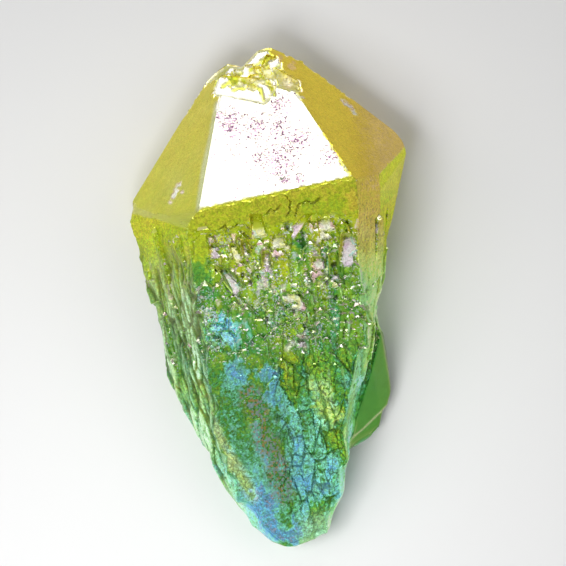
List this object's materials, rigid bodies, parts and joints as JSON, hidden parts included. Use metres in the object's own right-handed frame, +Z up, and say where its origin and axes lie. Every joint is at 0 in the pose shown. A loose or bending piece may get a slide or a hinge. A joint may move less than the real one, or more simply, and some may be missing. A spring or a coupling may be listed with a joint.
{
  "type": "aura quartz crystal",
  "caption": "Natural quartz point with a yellow, green and blue aura coating, a smooth faceted tip and etched, blade-covered sides, lying on its back.",
  "frame": {"origin": "centre of the bounding box, on the flat back face that the crystal rests on", "axes": "+Z up from the rest face, +Y along the crystal towards its tip, +X to the right seen from above with the tip away from the viewer"},
  "size_m": [0.0304, 0.054, 0.0175],
  "materials": {
    "aura_quartz": "see-through quartz under a thin iridescent metal coating, yellow at the tip through green to blue at the root"
  },
  "bodies": {
    "root": {"crystal_point": "aura_quartz"}
  },
  "joints": []
}
